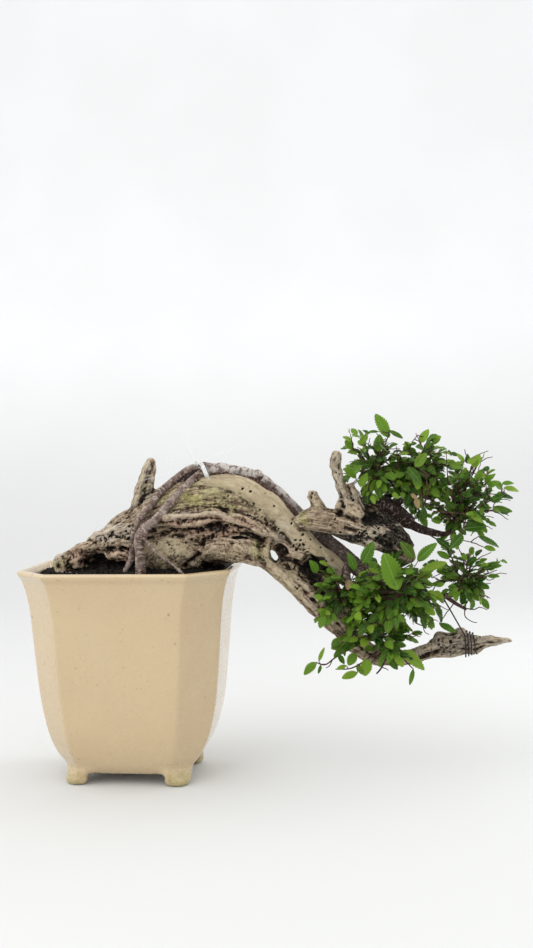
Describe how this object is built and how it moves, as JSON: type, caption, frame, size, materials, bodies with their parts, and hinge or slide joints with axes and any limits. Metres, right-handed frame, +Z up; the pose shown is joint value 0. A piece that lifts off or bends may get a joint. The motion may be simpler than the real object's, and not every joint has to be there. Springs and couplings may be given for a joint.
{
  "type": "zelkova bonsai",
  "caption": "Semi-cascade broadleaf bonsai with a hollowed old trunk, a living bark vein and small toothed leaves, in a glazed pot with cut corners.",
  "frame": {"origin": "on the floor, under the middle of the whole tree and pot", "axes": "+Z up; +X from the pot towards the tip of the cascading tree; +Y from the viewer's side to the back"},
  "size_m": [0.3474, 0.11, 0.2528],
  "materials": {
    "glaze": "gloss",
    "screen": "matte",
    "earth": "matte",
    "old_wood": "matte",
    "bark": "matte",
    "white_band": "satin",
    "wire": "matte",
    "foliage": "satin"
  },
  "bodies": {
    "root": {"pot": "glaze", "drain_screen": "screen", "soil": "earth", "deadwood": "old_wood", "live_stem": "bark", "tie_band": "white_band", "guy_wire": "wire", "spray_crown_left": "foliage", "spray_crown_top": "foliage", "spray_crown_right": "foliage", "spray_crown_back": "foliage", "spray_lower_left": "foliage", "spray_front": "foliage", "spray_lower_right": "foliage", "spray_bottom": "foliage", "spray_lower_back": "foliage"}
  },
  "joints": []
}
